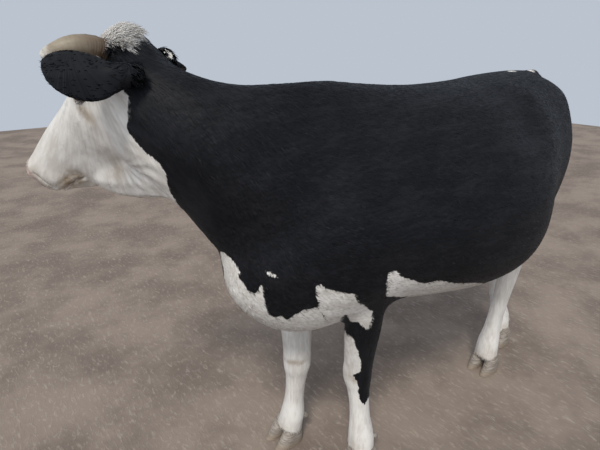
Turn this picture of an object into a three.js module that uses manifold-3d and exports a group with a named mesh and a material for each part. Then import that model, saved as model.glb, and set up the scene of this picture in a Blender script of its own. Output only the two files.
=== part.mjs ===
// A horned black-and-white dairy cow, life size, standing still with the head turned to the right.
// Millimetres. X runs to the rear, Y to the cow's right and Z up. The flesh is modelled whole and
// then parted by thin plane cuts; the horns, eyes, claws and dewclaws are solids of their own.
import * as THREE from "three";
import { mergeVertices } from "three/addons/utils/BufferGeometryUtils.js";
import Module from "manifold-3d";

const wasm = await Module();
wasm.setup();

// ---- Driving dimensions ----

const WITHERS = 1370; // height at the withers
const BELLY = 540; // clear of the underside of the trunk
const GAP = 0.4; // clearance between pieces that touch
const LEFT = -1;
const RIGHT = 1;
const SIDES = { left: LEFT, right: RIGHT };

const HEAD = {
  poll: [-522, 163, 1464],
  yaw: 60.2, // degrees to the cow's right
  pitch: 35.9, // degrees nose down
  roll: 22.1, // degrees, right side up
  size: 1.02, // against the sections of the skull
};
const EYE = { at: [-106, 84, -33], radius: 19 };
const EAR = { half: 58, thick: 6 };
const CORONET = { height: 58, slope: 0.28 }; // top of the hoof, higher at the toe
const CLAW = { half: 27, toe: 72, heel: 49, spread: 32 };

// ---- Smooth lofts ----

// Catmull-Rom through equally spaced values.
function smooth(values, t) {
  const last = values.length - 1;
  const place = Math.min(Math.max(t, 0), 1) * last;
  const i = Math.min(Math.floor(place), last - 1);
  const [a, b, c, d] = [-1, 0, 1, 2].map((k) => values[Math.min(Math.max(i + k, 0), last)]);
  const u = place - i;
  return b + 0.5 * u * (c - a + u * (2 * a - 5 * b + 4 * c - d + u * (3 * (b - c) + d - a)));
}

// One half size of an oval, squared off where full is above 2 and pinched where it is below.
const ovalPart = (value, full) => Math.sign(value) * Math.abs(value) ** (2 / full);

// Every swelling or hollow moves the surface out or in by its rise, fading over its reach.
function swell(point, bumps) {
  let moved = 0;
  for (const { at, reach, rise } of bumps) {
    const far = at.reduce((sum, c, i) => sum + ((point.getComponent(i) - c) / reach[i]) ** 2, 0);
    moved += rise * Math.exp(-far);
  }
  return moved;
}

// A closed body through stations. Each holds a centre and the half sizes of an oval ring around
// it: up and down, and side, or plus and minus where the two sides differ. Up is a direction; the
// sides lie square to it and to the way the body runs, which is fixed by along or else follows
// the centres. Cup bends the sides of the ring upwards, and grow makes all of it larger.
function loft(stations, { sides, rings, up, along, bumps = [], grow = 0 }) {
  const read = (key, t) => smooth(stations.map((s) => s[key] ?? 0), t);
  const has = (key) => stations.some((s) => s[key] !== undefined);
  const centre = (t) => new THREE.Vector3(...[0, 1, 2].map((i) => smooth(stations.map((s) => s.at[i]), t)));
  const lopsided = has("plus");
  const geometry = new THREE.CylinderGeometry(1, 1, 1, sides, rings);
  const position = geometry.getAttribute("position");
  for (let i = 0; i < position.count; i++) {
    const t = position.getY(i) + 0.5;
    const middle = centre(t);
    const onward = along ? new THREE.Vector3(...along) : centre(t + 0.02).sub(centre(t - 0.02));
    const sideways = new THREE.Vector3(...up).cross(onward).normalize();
    const upward = onward.normalize().clone().cross(sideways);
    const [across, rise] = [position.getZ(i), position.getX(i)];
    const full = read(rise > 0 ? "fullUp" : "fullDown", t) || 2;
    const wide = lopsided ? read(across > 0 ? "plus" : "minus", t) : read("side", t);
    const high = read(rise > 0 ? "up" : "down", t);
    const point = middle.clone();
    point.addScaledVector(sideways, wide * ovalPart(across, full));
    point.addScaledVector(upward, high * ovalPart(rise, full) + read("cup", t) * across * across);
    const outward = point.clone().sub(middle).normalize();
    position.setXYZ(i, ...point.addScaledVector(outward, swell(point, bumps) + grow));
  }
  return geometry;
}

// A ring of a body whose top and bottom outlines are known: where it is along the body, its top,
// the level of its widest part, its bottom and its half width.
const section = (x, top, level, bottom, side, fullUp = 2, fullDown = 2) => ({
  at: [x, 0, level],
  up: top - level,
  down: level - bottom,
  side,
  fullUp,
  fullDown,
});

// A round body along points, each with its radius.
function taper(points, shape) {
  const stations = points.map(([x, y, z, radius]) => ({
    at: [x, y, z],
    up: radius,
    down: radius,
    side: radius,
  }));
  return loft(stations, shape);
}

// The same swellings on both flanks.
const paired = (bumps) => [
  ...bumps,
  ...bumps.map(({ at: [x, y, z], reach, rise }) => ({ at: [x, -y, z], reach, rise })),
];

// ---- Solids ----

function solid(geometry) {
  const bare = geometry.clone();
  bare.deleteAttribute("normal");
  bare.deleteAttribute("uv");
  const merged = mergeVertices(bare, 1e-3);
  return new wasm.Manifold(
    new wasm.Mesh({
      numProp: 3,
      vertProperties: new Float32Array(merged.attributes.position.array),
      triVerts: new Uint32Array(merged.index.array),
    }),
  );
}

function geometryOf(manifold) {
  const mesh = manifold.getMesh();
  const geometry = new THREE.BufferGeometry();
  geometry.setAttribute("position", new THREE.BufferAttribute(mesh.vertProperties, 3));
  geometry.setIndex(new THREE.BufferAttribute(mesh.triVerts, 1));
  geometry.computeVertexNormals();
  return geometry;
}

const union = (solids) => solids.reduce((all, one) => all.add(one));

// A cutting block: its size, its centre and its turn in degrees, grown by a margin all round.
function block({ size, at, turn = [0, 0, 0] }, margin = 0) {
  const pose = new THREE.Matrix4()
    .makeRotationFromEuler(new THREE.Euler(...turn.map(THREE.MathUtils.degToRad), "ZYX"))
    .setPosition(...at);
  return solid(new THREE.BoxGeometry(...size.map((s) => s + 2 * margin)).applyMatrix4(pose));
}

// ---- Trunk ----

function trunk(grow) {
  const stations = [
    section(-345, 985, 898, 806, 40),
    section(-304, 1085, 888, 730, 98), // brisket
    section(-219, 1235, 878, 644, 162), // points of the shoulders
    section(-112, 1335, 875, 604, 218, 1.8),
    section(0, WITHERS - 2, 870, 616, 252, 1.55), // withers
    section(150, WITHERS - 12, 865, 630, 290, 1.7),
    section(320, WITHERS - 25, 850, 604, 338, 1.85),
    section(480, WITHERS - 26, 838, 576, 372, 1.95),
    section(630, WITHERS - 22, 840, 566, 385, 2), // deepest belly
    section(755, WITHERS - 14, 862, 580, 366, 2.1),
    section(860, WITHERS - 6, 905, 632, 325, 2.2), // hooks
    section(955, WITHERS - 2, 960, 710, 285, 2.2),
    section(1045, WITHERS, 1008, 790, 262, 2.1),
    section(1128, WITHERS - 8, 1048, 860, 238, 2), // tail head
    section(1200, WITHERS - 66, 1078, 930, 196, 2),
    section(1243, WITHERS - 150, 1088, 985, 122, 2),
  ];
  const bumps = paired([
    { at: [-20, 240, 1010], reach: [150, 90, 200], rise: 20 }, // shoulder blade
    { at: [-225, 160, 905], reach: [70, 70, 80], rise: 24 }, // point of the shoulder
    { at: [140, 285, 1040], reach: [60, 100, 200], rise: -14 }, // behind the shoulder
    { at: [785, 262, 1318], reach: [75, 75, 55], rise: 52 }, // hook
    { at: [680, 320, 1240], reach: [90, 90, 80], rise: -30 }, // flank hollow
    { at: [985, 262, 1290], reach: [120, 70, 60], rise: -16 }, // thurl
    { at: [1198, 126, 1262], reach: [55, 55, 60], rise: 26 }, // pin
    { at: [1140, 68, 1350], reach: [60, 35, 45], rise: -18 }, // beside the tail head
  ]);
  return loft(stations, { sides: 24, rings: 26, up: [0, 0, 1], along: [1, 0, 0], bumps, grow });
}

// ---- Neck ----

function neck(grow) {
  const stations = [
    { at: [110, 0, 1010], up: 345, down: 300, side: 190 },
    { at: [-60, 0, 1040], up: 345, down: 320, side: 194, fullUp: 1.6, fullDown: 1.8 },
    { at: [-190, 8, 1095], up: 322, down: 265, side: 162, fullUp: 1.6, fullDown: 1.7 },
    { at: [-300, 30, 1168], up: 254, down: 188, side: 134, fullUp: 1.7, fullDown: 1.7 },
    { at: [-390, 66, 1242], up: 166, down: 158, side: 114, fullUp: 1.9, fullDown: 1.8 },
    { at: [-459, 114, 1305], up: 128, down: 150, side: 99 },
    { at: [-508, 164, 1352], up: 106, down: 130, side: 84 },
  ].map((s) => ({ fullUp: 2, fullDown: 2, ...s }));
  return loft(stations, { sides: 20, rings: 11, up: [0, 0, 1], grow });
}

// The loose skin of the throat, a web from the jaw to the neck: place, half width and depth.
function throat(grow) {
  const stations = [
    [-556, 352, 1150, 40, 66],
    [-524, 300, 1150, 52, 94],
    [-496, 248, 1160, 60, 106],
    [-474, 190, 1172, 64, 106],
    [-448, 130, 1172, 62, 100],
    [-405, 70, 1150, 54, 84],
  ].map(([x, y, z, side, down]) => ({ at: [x, y, z], up: 60, down, side }));
  return loft(stations, { sides: 12, rings: 8, up: [0, 0, 1], grow });
}

// ---- Head, in its own frame: the poll is the origin and the face lies level, looking along -X ----

const headPose = new THREE.Matrix4()
  .makeRotationFromEuler(
    new THREE.Euler(...[HEAD.roll, -HEAD.pitch, -HEAD.yaw].map(THREE.MathUtils.degToRad), "ZYX"),
  )
  .scale(new THREE.Vector3(HEAD.size, HEAD.size, HEAD.size))
  .setPosition(...HEAD.poll);
const onHead = (geometry) => geometry.applyMatrix4(headPose);

function skull(grow) {
  const stations = [
    section(58, -58, -98, -150, 40),
    section(40, -26, -92, -185, 68, 2.3),
    section(6, -4, -85, -218, 88, 2.6), // poll
    section(-52, 4, -86, -244, 99, 2.8),
    section(-110, 5, -92, -258, 107, 2.7), // eyes
    section(-168, -2, -98, -262, 101, 2.5),
    section(-226, -7, -102, -252, 85, 2.3), // cheeks
    section(-284, -11, -102, -234, 72, 2.2),
    section(-340, -15, -100, -214, 63, 2.2), // bridge of the nose
    section(-393, -22, -97, -196, 60, 2.3),
    section(-436, -30, -97, -176, 62, 2.5), // nostrils
    section(-464, -42, -97, -164, 58, 2.6), // muzzle
    section(-482, -62, -102, -148, 46, 2.6),
  ];
  const bumps = [
    ...paired([
      { at: [-88, 98, -4], reach: [42, 32, 24], rise: 12 }, // brow
      { at: [-135, 100, -80], reach: [44, 30, 26], rise: 7 }, // cheek bone
      { at: [-106, 112, -36], reach: [26, 26, 20], rise: -7 }, // eye socket
      { at: [-150, 92, -172], reach: [75, 40, 55], rise: 12 }, // jaw muscle
      { at: [-245, 78, -150], reach: [45, 30, 45], rise: -7 }, // before the jaw muscle
      { at: [-452, 50, -58], reach: [26, 22, 22], rise: 9 }, // nostril wing
      { at: [-425, 45, -120], reach: [40, 25, 28], rise: 6 }, // upper lip
    ]),
    { at: [-385, 0, -200], reach: [40, 48, 34], rise: 14 }, // chin
    { at: [-60, 0, 4], reach: [70, 60, 40], rise: 5 }, // forehead
  ];
  return onHead(
    loft(stations, { sides: 22, rings: 22, up: [0, 0, 1], along: [-1, 0, 0], bumps, grow }),
  );
}

// The thick curl of hair between the horns.
function pollTuft(grow) {
  const stations = [
    { at: [44, -60, -40], up: 8, down: 20, side: 20 },
    { at: [18, -50, -22], up: 20, down: 30, side: 38 },
    { at: [6, -4, -10], up: 24, down: 32, side: 48 },
    { at: [22, 46, -20], up: 22, down: 30, side: 38 },
    { at: [44, 60, -40], up: 8, down: 20, side: 20 },
  ];
  return onHead(loft(stations, { sides: 10, rings: 7, up: [0, 0, 1], grow }));
}

// The horns grow out sideways and curl up and forward: x, y, z and radius along each.
const HORNS = {
  left: [
    [-6, -42, -20, 29],
    [0, -64, -3, 29],
    [0, -84, 15, 27],
    [-11, -108, 34, 24],
    [-33, -124, 49, 18],
    [-54, -128, 58, 12],
    [-64, -119, 63, 4],
  ],
  right: [
    [2, 44, -14, 29],
    [0, 72, -8, 29],
    [-17, 100, -4, 27],
    [-41, 126, 4, 24],
    [-66, 144, 15, 18],
    [-88, 152, 24, 12],
    [-108, 152, 30, 4],
  ],
};

const horn = (name) => onHead(taper(HORNS[name], { sides: 9, rings: 9, up: [1, 0, 0.3] }));

function eye(hand, grow) {
  const [x, y, z] = EYE.at;
  return onHead(new THREE.SphereGeometry(EYE.radius + grow, 10, 6).translate(x, hand * y, z));
}

// An ear runs from its root on the head to its tip, its open side facing the hollow direction.
// The left one is pricked forward and the right one is turned to the rear.
const EARS = {
  left: { root: [39, -94, -81], tip: [-11, -224, 29], hollow: [-0.85, 0.35, -0.15] },
  right: { root: [22, 72, -101], tip: [-108, 210, -137], hollow: [0.75, -0.1, 0.5] },
};

function ear({ root, tip, hollow }) {
  const from = new THREE.Vector3(...root);
  const along = new THREE.Vector3(...tip).sub(from);
  const at = (share) => from.clone().addScaledVector(along, share).toArray();
  const { half, thick } = EAR;
  const stations = [
    { at: at(-0.1), up: 30, down: 30, plus: 26, minus: 32, cup: 0 },
    { at: at(0.08), up: 27, down: 30, plus: 23, minus: 34, cup: 0 },
    { at: at(0.22), up: 14, down: 24, plus: 29, minus: 43, cup: 8 },
    { at: at(0.4), up: thick, down: 10, plus: half * 0.82, minus: half * 0.96, cup: 12 },
    { at: at(0.6), up: thick, down: thick, plus: half * 0.96, minus: half, cup: 13 },
    { at: at(0.8), up: thick, down: thick, plus: half * 0.8, minus: half * 0.8, cup: 11 },
    { at: at(0.94), up: thick - 1, down: thick - 1, plus: half * 0.44, minus: half * 0.44, cup: 6 },
    { at: at(1), up: 2, down: 2, plus: 8, minus: 8, cup: 0 },
  ];
  return onHead(loft(stations, { sides: 12, rings: 9, up: hollow }));
}

// ---- Legs ----

// Where a leg's centre line lies at a height, between its joints.
function onLimb(joints, z) {
  const below = joints.findIndex((j) => j[2] <= z);
  if (below <= 0) return [...joints[below === 0 ? 0 : joints.length - 1].slice(0, 2), z];
  const [a, b] = [joints[below - 1], joints[below]];
  const share = (a[2] - z) / (a[2] - b[2]);
  return [a[0] + share * (b[0] - a[0]), a[1] + share * (b[1] - a[1]), z];
}

// Rows of a leg from the body down: height, front, back, outer and inner half sizes.
function limb(hand, joints, rows, shape) {
  const stations = rows.map(([z, front, back, outer, inner]) => ({
    at: onLimb(joints, z),
    up: front,
    down: back,
    plus: hand === LEFT ? outer : inner,
    minus: hand === LEFT ? inner : outer,
  }));
  return loft(stations, { ...shape, up: [-1, 0, 0], along: [0, 0, -1] });
}

const FORE = {
  left: { joints: [[35, -168, 900], [45, -162, 780], [92, -92, 375], [88, -128, 125], [78, -145, 0]] },
  right: { joints: [[10, 168, 900], [4, 157, 780], [-34, 90, 375], [-51, 106, 125], [-74, 121, 0]] },
};
const HIND = {
  left: { joints: [[1050, -150, 1200], [980, -158, 860], [1012, -134, 545], [948, -124, 135], [934, -131, 0]] },
  right: { joints: [[1050, 150, 1200], [1045, 150, 860], [1205, 92, 545], [1220, -32, 135], [1186, -52, 0]] },
};

const foreLeg = (name, grow) =>
  limb(
    SIDES[name],
    FORE[name].joints,
    [
      [930, 120, 120, 45, 60],
      [860, 125, 110, 62, 66],
      [780, 104, 100, 64, 60], // elbow
      [670, 86, 78, 64, 58],
      [560, 72, 66, 58, 54],
      [450, 60, 56, 54, 50],
      [395, 60, 52, 56, 54], // knee
      [355, 57, 50, 54, 53],
      [305, 43, 44, 44, 42],
      [235, 38, 41, 40, 38],
      [170, 41, 45, 44, 42],
      [128, 46, 54, 53, 51], // fetlock
      [92, 44, 50, 56, 54], // pastern
      [58, 50, 54, 60, 58], // coronet
      [34, 48, 52, 58, 56],
    ],
    { sides: 12, rings: 16, grow },
  );

const hindLeg = (name, grow) =>
  limb(
    SIDES[name],
    HIND[name].joints,
    [
      [1225, 80, 90, 20, 40],
      [1180, 140, 150, 72, 70],
      [1080, 184, 200, 108, 90],
      [960, 196, 192, 112, 92],
      [850, 185, 168, 98, 84],
      [750, 150, 132, 78, 70],
      [665, 102, 98, 58, 52],
      [590, 72, 78, 46, 43],
      [530, 60, 70, 47, 44], // hock
      [465, 54, 57, 44, 41],
      [380, 44, 48, 39, 37],
      [280, 40, 44, 36, 35],
      [190, 43, 49, 43, 41],
      [138, 48, 56, 53, 51], // fetlock
      [98, 44, 50, 54, 52], // pastern
      [60, 50, 54, 59, 57], // coronet
      [34, 48, 52, 57, 55],
    ],
    { sides: 12, rings: 19, grow },
  );

// ---- Feet: two claws and two dewclaws on each ----

// All above the coronet, whose plane slopes down to the heel.
function coronetBlock([x, y], margin) {
  const { height, slope } = CORONET;
  const half = 800;
  return block(
    {
      size: [2 * half, 2 * half, 2 * half],
      at: [x + half * Math.sin(slope), y, height + half * Math.cos(slope)],
      turn: [0, THREE.MathUtils.radToDeg(slope), 0],
    },
    margin,
  );
}

// A claw of the foot whose sole is centred on x, y, to the given hand of it.
function claw([x, y], hand) {
  const { toe, heel, half, spread } = CLAW;
  const stations = [
    [84, toe - 62, heel + 6, half - 2, half - 3],
    [40, toe - 34, heel + 5, half + 1, half - 2],
    [12, toe - 11, heel + 3, half + 2, half - 2],
    [0, toe, heel, half + 1, half - 2],
  ].map(([z, front, back, outer, inner]) => ({
    at: [x, y + hand * spread, z],
    up: front,
    down: back,
    plus: hand === LEFT ? outer : inner,
    minus: hand === LEFT ? inner : outer,
    fullUp: 2.2,
    fullDown: 2.6,
  }));
  return loft(stations, { sides: 10, rings: 3, up: [-1, 0, 0], along: [0, 0, -1] });
}

function dewclaw(joints, hand) {
  const [x, y] = onLimb(joints, 104);
  return taper(
    [
      [x + 18, y + hand * 20, 112, 11],
      [x + 44, y + hand * 25, 104, 12],
      [x + 62, y + hand * 27, 90, 7],
    ],
    { sides: 6, rings: 3, up: [0, 1, 0] },
  );
}

// ---- Tail and udder ----

function tail() {
  const points = [
    [1118, 0, 1330, 38],
    [1182, 0, 1344, 34],
    [1240, 0, 1296, 31],
    [1270, 0, 1200, 28],
    [1281, 0, 1080, 24],
    [1283, 0, 960, 20],
    [1284, -10, 840, 17],
    [1286, -26, 700, 15],
  ];
  return taper(points, { sides: 8, rings: 13, up: [0, 1, 0] });
}

function tailSwitch() {
  const points = [
    [1286, -26, 699, 16],
    [1288, -32, 640, 24],
    [1291, -38, 560, 32],
    [1291, -42, 480, 29],
    [1289, -44, 415, 10],
  ];
  return taper(points, { sides: 8, rings: 6, up: [0, 1, 0] });
}

function udder() {
  const bag = loft(
    [
      section(850, 690, 655, 632, 40),
      section(890, 760, 680, 596, 84),
      section(960, 800, 690, 568, 104), // floor of the udder
      section(1030, 820, 700, 572, 104),
      section(1085, 840, 720, 612, 84),
      section(1115, 840, 740, 680, 42),
    ],
    { sides: 14, rings: 8, up: [0, 0, 1], along: [1, 0, 0] },
  );
  const teats = [
    [925, 56],
    [925, -56],
    [1035, 48],
    [1035, -48],
  ].map(([x, y]) =>
    taper(
      [
        [x, y, 610, 17],
        [x, y * 1.05, 560, 14],
        [x, y * 1.08, 520, 12],
        [x, y * 1.08, 510, 6],
      ],
      { sides: 6, rings: 3, up: [1, 0, 0] },
    ),
  );
  return union([bag, ...teats].map(solid));
}

// ---- Parting the flesh ----

// All ahead of the slanting line from the withers to the brisket.
const neckBlock = (margin) =>
  block({ size: [1000, 1200, 1400], at: [-186 - 428, 0, 1140 + 258], turn: [0, 31.1, 0] }, margin);

// All of the head ahead of the line from the poll to the throat.
function headBlock(margin) {
  const tilt = 27;
  const ahead = 350;
  const local = new THREE.Matrix4()
    .makeRotationY(THREE.MathUtils.degToRad(tilt))
    .setPosition(
      -35 - ahead * Math.cos(THREE.MathUtils.degToRad(tilt)),
      0,
      -97 + ahead * Math.sin(THREE.MathUtils.degToRad(tilt)),
    );
  const side = 2 * (ahead + margin);
  return solid(onHead(new THREE.BoxGeometry(side, side, side).applyMatrix4(local)));
}

// All below the height where a pair of legs leaves the body, and all below the belly.
const legBlock = ({ x, width, z }, margin) =>
  block({ size: [width, 900, 1000], at: [x, 0, z - 500] }, margin).add(
    block({ size: [3000, 900, 1000], at: [x, 0, BELLY - 500] }, margin),
  );

const LEGS = {
  fore: { build: foreLeg, places: FORE, cut: { x: 40, width: 380, z: 588 } },
  hind: { build: hindLeg, places: HIND, cut: { x: 1340, width: 840, z: 605 } },
};

const COLOURS = {
  black: 0x15171b,
  white: 0xdcd7cd,
  skin: 0xc9a898,
  horn: 0x9d8d78,
  hoof: 0x6b6155,
  eye: 0x120d0a,
};

const cow = new THREE.Group();
cow.name = "cow";

function add(name, manifold, colour) {
  const material = new THREE.MeshStandardMaterial({
    color: COLOURS[colour],
    roughness: colour === "eye" ? 0.1 : 0.8,
    metalness: 0,
  });
  const mesh = new THREE.Mesh(geometryOf(manifold), material);
  mesh.name = name;
  cow.add(mesh);
}

const half = GAP / 2;
const pairs = Object.entries(LEGS);
const names = Object.entries(SIDES);

// Everything fleshy but the udder and the tail, a hair wider where it cuts its neighbours back.
const wholeFlesh = (grow) =>
  union([
    solid(trunk(grow)),
    solid(neck(grow)),
    solid(throat(grow)),
    solid(skull(grow)),
    solid(pollTuft(grow)),
    ...pairs.flatMap(([, { build }]) => names.map(([name]) => solid(build(name, grow)))),
  ]);
const flesh = wholeFlesh(0);
const around = wholeFlesh(3 * GAP);

const legRoom = (margin) => union(pairs.map(([, { cut }]) => legBlock(cut, margin)));
add("trunk", flesh.subtract(neckBlock(half)).subtract(legRoom(half)), "black");
add("neck", flesh.intersect(neckBlock(-half)).subtract(headBlock(half)), "black");

let head = flesh.intersect(headBlock(-half));
for (const [name, hand] of names) {
  head = head.subtract(solid(eye(hand, GAP)));
  add(`eye_${name}`, solid(eye(hand, 0)), "eye");
  add(`horn_${name}`, solid(horn(name)).subtract(around), "horn");
  add(`ear_${name}`, solid(ear(EARS[name])).subtract(around), "black");
}
add("head", head, "white");

for (const [pair, { build, places, cut }] of pairs) {
  for (const [name, hand] of names) {
    const { joints } = places[name];
    const foot = joints.at(-1);
    const limbSolid = solid(build(name, 0));
    const lower = limbSolid.intersect(legBlock(cut, -half)).intersect(coronetBlock(foot, -half));
    add(`leg_${pair}_${name}`, lower, "white");
    for (const [place, way] of Object.entries({ outer: hand, inner: -hand })) {
      const tag = `${pair}_${name}_${place}`;
      add(`claw_${tag}`, solid(claw(foot, way)).subtract(coronetBlock(foot, half)), "hoof");
      add(`dewclaw_${tag}`, solid(dewclaw(joints, way)).subtract(around), "hoof");
    }
  }
}

const root = solid(tail());
add("tail", root.subtract(around), "black");
add("tail_switch", solid(tailSwitch()).subtract(block({ size: [200, 200, 200], at: [1286, -26, 800 - half] })), "white");
add("udder", udder().subtract(around), "skin");

// The origin is the middle of the bounding box, on the floor.
const box = new THREE.Box3().setFromObject(cow);
const middle = box.getCenter(new THREE.Vector3());
cow.position.set(-middle.x, -middle.y, -box.min.z);

export default cow;
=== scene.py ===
import math

import bmesh
import bpy
import numpy as np
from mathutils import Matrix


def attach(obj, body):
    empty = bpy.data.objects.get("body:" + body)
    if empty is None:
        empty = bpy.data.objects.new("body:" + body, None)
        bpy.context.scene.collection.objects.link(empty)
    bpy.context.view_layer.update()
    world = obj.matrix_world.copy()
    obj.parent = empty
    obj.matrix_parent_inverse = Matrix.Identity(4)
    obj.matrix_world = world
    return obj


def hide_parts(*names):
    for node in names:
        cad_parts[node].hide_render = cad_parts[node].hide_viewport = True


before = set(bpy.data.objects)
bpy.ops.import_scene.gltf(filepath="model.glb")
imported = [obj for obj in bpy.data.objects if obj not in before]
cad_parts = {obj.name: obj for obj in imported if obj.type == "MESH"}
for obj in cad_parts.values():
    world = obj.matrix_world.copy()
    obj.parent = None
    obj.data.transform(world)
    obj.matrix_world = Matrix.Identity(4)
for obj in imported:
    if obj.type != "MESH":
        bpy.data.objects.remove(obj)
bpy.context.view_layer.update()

MM = 0.001
SIDES = {"left": -1, "right": 1}
FEET = [(pair, side) for pair in ("fore", "hind") for side in SIDES]
FLESH = ["trunk", "neck", "head", "tail", "udder"] + [f"leg_{pair}_{side}" for pair, side in FEET]
ORIGIN = np.array([-302.77, -65.56, 0.0])  # the cow's own origin, in the frame
RNG = np.random.default_rng(7)

# ---- Camera, floor and light ----

EYE_POINT = np.array([-872.0, -994.0, 1450.0])  # where the photographer stood, in the cow's frame
VIEW_DOWN = 21.5  # degrees
VIEW_TURN = 38.0  # degrees, from +Y towards +X
LENS = 27.06  # on a sensor 36 mm wide
SENSOR = 36.0
PICTURE = np.array([600, 450])  # its size in pixels


def to_frame(points):
    """The cow's own millimetres to the scene's metres."""
    return (np.asarray(points, float) + ORIGIN) * MM


def to_cow(points):
    return np.asarray(points, float) / MM - ORIGIN


def add_camera():
    camera = bpy.data.cameras.new("camera")
    camera.lens = LENS
    camera.sensor_width = SENSOR
    camera.clip_end = 100
    camera.dof.use_dof = False
    eye = bpy.data.objects.new("camera", camera)
    eye.location = to_frame(EYE_POINT)
    eye.rotation_euler = (math.radians(90 - VIEW_DOWN), 0, math.radians(-VIEW_TURN))
    bpy.context.scene.collection.objects.link(eye)
    bpy.context.scene.camera = eye


SKY = {"colour": (0.80, 0.88, 1.0, 1), "strength": 0.62}
# A sun's size is the angle it fills, and an area light's is its breadth in metres.
LIGHTS = {
    "sun": {
        "kind": "SUN", "place": (-3.0, -2.5, 6.0), "aim": (0, 0, 0.8), "energy": 2.1,
        "size": math.radians(14), "colour": (1.0, 0.95, 0.87),
    },
    "fill": {
        "kind": "AREA", "place": (-4.0, -3.0, 2.5), "aim": (0, 0, 0.9), "energy": 45,
        "size": 4.0, "colour": (0.85, 0.92, 1.0),
    },
}


def add_light(name, kind, place, aim, energy, size, colour):
    light = bpy.data.lights.new(name, kind)
    light.energy = energy
    light.color = colour
    if kind == "AREA":
        light.size = size
    else:
        light.angle = size
    lamp = bpy.data.objects.new(name, light)
    lamp.location = place
    down = np.array(aim) - np.array(place)
    lamp.rotation_euler = (
        math.acos(-down[2] / np.linalg.norm(down)), 0, math.atan2(down[1], down[0]) - math.pi / 2
    )
    bpy.context.scene.collection.objects.link(lamp)


def add_surroundings():
    bpy.context.scene.view_settings.view_transform = "Standard"
    world = bpy.data.worlds.new("overcast")
    bpy.context.scene.world = world
    world.use_nodes = True
    nodes, links = world.node_tree.nodes, world.node_tree.links
    nodes.clear()
    sky = nodes.new("ShaderNodeBackground")
    sky.inputs["Color"].default_value = SKY["colour"]
    sky.inputs["Strength"].default_value = SKY["strength"]
    links.new(sky.outputs[0], nodes.new("ShaderNodeOutputWorld").inputs[0])
    for name, light in LIGHTS.items():
        add_light(name, **light)


# ---- Smooth lofts, as the solids are made ----


def smooth(values, t):
    """Catmull-Rom through equally spaced values."""
    values = np.asarray(values, float)
    last = len(values) - 1
    place = np.clip(t, 0, 1) * last
    i = np.minimum(np.floor(place).astype(int), last - 1)
    a, b, c, d = (values[np.clip(i + k, 0, last)] for k in (-1, 0, 1, 2))
    u = place - i
    return b + 0.5 * u * (c - a + u * (2 * a - 5 * b + 4 * c - d + u * (3 * (b - c) + d - a)))


def unit(vectors):
    return vectors / np.maximum(np.linalg.norm(vectors, axis=-1, keepdims=True), 1e-9)


def oval_part(value, full):
    return np.sign(value) * np.abs(value) ** (2 / full)


def capped_tube(rings, sides):
    """Faces of rings of points, closed at the ends by the two points that come after them."""
    ring = np.arange(sides)
    after = (ring + 1) % sides
    base = (rings - 1) * sides
    faces = []
    for low in range(0, base, sides):
        top = low + sides
        faces += np.stack([low + ring, top + ring, top + after, low + after], 1).tolist()
    ends = list(zip(ring.tolist(), after.tolist()))
    faces += [[rings * sides, a, b] for a, b in ends]
    return faces + [[rings * sides + 1, base + b, base + a] for a, b in ends]


def loft(stations, sides, rings, up, along=None, relief=None):
    """A closed body through stations of a centre and half sizes, as points and faces.

    Relief gives the rise of the surface from how far along and how far round a point is."""
    def read(key, t, default=0.0):
        return smooth([s.get(key, default) for s in stations], t)

    def centre(t):
        return np.stack([smooth([s["at"][k] for s in stations], t) for k in range(3)], -1)

    lopsided = "plus" in stations[0]
    t = np.linspace(0, 1, rings + 1)
    middle = centre(t)
    onward = centre(t + 0.02) - centre(t - 0.02)
    if along:
        onward = np.tile(np.array(along, float), (rings + 1, 1))
    sideways = unit(np.cross(np.array(up, float), onward))
    upward = np.cross(unit(onward), sideways)
    angle = np.arange(sides) * 2 * math.pi / sides
    points = []
    for k in range(rings + 1):
        across, rise = np.cos(angle), np.sin(angle)
        full = np.where(rise > 0, read("full_up", t[k], 2), read("full_down", t[k], 2))
        if lopsided:
            wide = np.where(across > 0, read("plus", t[k]), read("minus", t[k]))
        else:
            wide = read("side", t[k]) * np.ones(sides)
        high = np.where(rise > 0, read("up", t[k]), read("down", t[k]))
        ring = middle[k] + sideways[k] * (wide * oval_part(across, full))[:, None]
        lift = high * oval_part(rise, full) + read("cup", t[k]) * across**2
        ring = ring + upward[k] * lift[:, None]
        if relief is not None:
            ring = ring + unit(ring - middle[k]) * relief(t[k], angle)[:, None]
        points.append(ring)
    return np.concatenate([*points, middle[:1], middle[-1:]]), capped_tube(rings + 1, sides)


def taper(points, sides, rings, up, relief=None):
    stations = [{"at": p[:3], "up": p[3], "down": p[3], "side": p[3]} for p in points]
    return loft(stations, sides, rings, up, relief=relief)


# ---- Meshes ----


def fill(mesh, points, faces):
    """Faces are a list of arrays, each of faces with one number of corners."""
    corners = np.concatenate([np.asarray(f).ravel() for f in faces]).astype(np.int32)
    counts = np.concatenate([np.full(len(f), np.shape(f)[1]) for f in faces])
    mesh.vertices.add(len(points))
    mesh.vertices.foreach_set("co", np.asarray(points, np.float32).ravel())
    mesh.loops.add(len(corners))
    mesh.loops.foreach_set("vertex_index", corners)
    mesh.polygons.add(len(counts))
    starts = np.concatenate([[0], np.cumsum(counts)[:-1]]).astype(np.int32)
    mesh.polygons.foreach_set("loop_start", starts)
    mesh.polygons.foreach_set("use_smooth", np.ones(len(counts), bool))
    mesh.update(calc_edges=True)
    mesh.validate()


def by_corners(faces):
    groups = {}
    for face in faces:
        groups.setdefault(len(face), []).append(face)
    return [np.array(group) for group in groups.values()]


def mesh_object(name, points, faces, material=None):
    """An object from points in the scene's metres."""
    mesh = bpy.data.meshes.new(name)
    fill(mesh, points, faces)
    made = bpy.data.objects.new(name, mesh)
    bpy.context.scene.collection.objects.link(made)
    if material:
        mesh.materials.append(material)
    return made


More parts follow.
